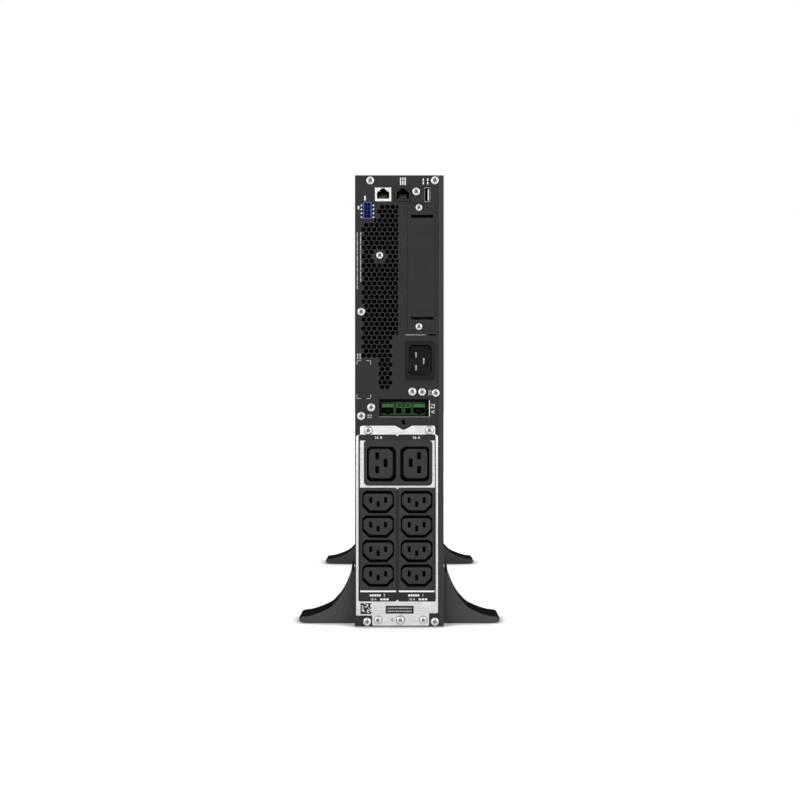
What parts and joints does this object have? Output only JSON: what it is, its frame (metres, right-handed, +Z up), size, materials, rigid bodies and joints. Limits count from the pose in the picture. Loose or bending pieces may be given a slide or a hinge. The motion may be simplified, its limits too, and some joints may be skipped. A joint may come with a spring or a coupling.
{
  "type": "rackmount ups",
  "caption": "Two-unit rackmount uninterruptible power supply standing as a tower on stabiliser feet, with sockets on its rear panel and a slide-out battery module.",
  "frame": {"origin": "on the floor under the middle of the case", "axes": "+Z up as the tower stands, +Y from the rear panel to the front bezel, +X to the right seen from the rear"},
  "size_m": [0.1956, 0.5878, 0.432],
  "materials": {
    "case_paint": "dark grey fine-textured powder coat",
    "zinc_plate": "bright zinc plate",
    "label_film": "printed black film",
    "socket_nylon": "dark grey nylon",
    "black_nylon": "black nylon",
    "pin_nickel": "nickel-plated brass",
    "screw_steel": "zinc-plated steel",
    "ivory_plastic": "ivory",
    "blue_plastic": "blue terminal plastic",
    "green_plastic": "green connector plastic",
    "aluminium": "plain",
    "foot_plastic": "black moulded plastic",
    "circuit_board": "green solder mask",
    "capacitor_sleeve": "blue-black sleeve",
    "copper_winding": "enamelled copper",
    "core_black": "dark grey",
    "battery_case": "grey ABS",
    "bezel_plastic": "black textured ABS",
    "display_glass": "tinted window",
    "key_plastic": "dark grey keys"
  },
  "bodies": {
    "chassis": {"base_pan": "case_paint", "top_cover": "case_paint", "rear_panel": "case_paint", "output_plate": "zinc_plate", "output_label": "label_film", "outlet_pair_16a": "socket_nylon", "outlet_strip_left": "socket_nylon", "outlet_strip_right": "socket_nylon", "mains_inlet": "black_nylon", "inlet_pin_line": "pin_nickel", "inlet_pin_neutral": "pin_nickel", "inlet_pin_earth": "pin_nickel", "network_jack": "ivory_plastic", "serial_jack": "black_nylon", "usb_port": "screw_steel", "emergency_terminal": "blue_plastic", "battery_port": "green_plastic", "card_slot_cover": "case_paint", "card_cage": "aluminium", "card_screw_upper": "screw_steel", "card_screw_lower": "screw_steel", "plate_screw_left": "screw_steel", "plate_screw_right": "screw_steel", "earth_stud": "screw_steel", "foot_rear_left": "foot_plastic", "foot_rear_right": "foot_plastic", "foot_front_left": "foot_plastic", "foot_front_right": "foot_plastic", "bay_divider": "zinc_plate", "main_board": "circuit_board", "heatsink_lower": "aluminium", "heatsink_upper": "aluminium", "bus_capacitor_1": "capacitor_sleeve", "bus_capacitor_2": "capacitor_sleeve", "output_inductor": "copper_winding", "transformer": "core_black", "comms_board": "circuit_board", "fan_frame_lower": "black_nylon", "fan_frame_upper": "black_nylon", "display_bezel": "bezel_plastic"},
    "battery_module": {"battery_tray": "zinc_plate", "battery_block_1": "battery_case", "battery_block_2": "battery_case", "battery_block_3": "battery_case", "battery_block_4": "battery_case", "battery_block_5": "battery_case", "battery_block_6": "battery_case", "battery_handle": "black_nylon", "battery_plug": "blue_plastic"},
    "battery_cover": {"battery_cover": "bezel_plastic"},
    "display": {"display_housing": "bezel_plastic", "display_window": "display_glass"},
    "fan_rotor_lower": {"fan_rotor_lower": "core_black"},
    "fan_rotor_upper": {"fan_rotor_upper": "core_black"},
    "power_button": {"power_button": "key_plastic"},
    "key_1": {"key_1": "key_plastic"},
    "key_2": {"key_2": "key_plastic"},
    "key_3": {"key_3": "key_plastic"},
    "key_4": {"key_4": "key_plastic"}
  },
  "joints": [
    {"name": "battery_slide", "type": "slide", "parent": "chassis", "child": "battery_module", "axis": [0, 1, 0], "range_m": [0, 0.42]},
    {"name": "cover_pull", "type": "slide", "parent": "battery_module", "child": "battery_cover", "axis": [0, 1, 0], "range_m": [0, 0.04]},
    {"name": "display_tilt", "type": "hinge", "parent": "chassis", "child": "display", "pos_m": [0, 0.2854, 0.414], "axis": [1, 0, 0], "range_deg": [0, 30]},
    {"name": "fan_lower_spin", "type": "hinge", "parent": "chassis", "child": "fan_rotor_lower", "pos_m": [0, -0.088, 0.2562], "axis": [0, 1, 0], "continuous": true},
    {"name": "fan_upper_spin", "type": "hinge", "parent": "chassis", "child": "fan_rotor_upper", "pos_m": [0, -0.088, 0.384], "axis": [0, 1, 0], "continuous": true},
    {"name": "power_button_press", "type": "slide", "parent": "display", "child": "power_button", "axis": [0, -1, 0], "range_m": [0, 0.001], "stiffness_N_per_m": 300},
    {"name": "key_1_press", "type": "slide", "parent": "display", "child": "key_1", "axis": [0, -1, 0], "range_m": [0, 0.001], "stiffness_N_per_m": 300},
    {"name": "key_2_press", "type": "slide", "parent": "display", "child": "key_2", "axis": [0, -1, 0], "range_m": [0, 0.001], "stiffness_N_per_m": 300},
    {"name": "key_3_press", "type": "slide", "parent": "display", "child": "key_3", "axis": [0, -1, 0], "range_m": [0, 0.001], "stiffness_N_per_m": 300},
    {"name": "key_4_press", "type": "slide", "parent": "display", "child": "key_4", "axis": [0, -1, 0], "range_m": [0, 0.001], "stiffness_N_per_m": 300}
  ]
}
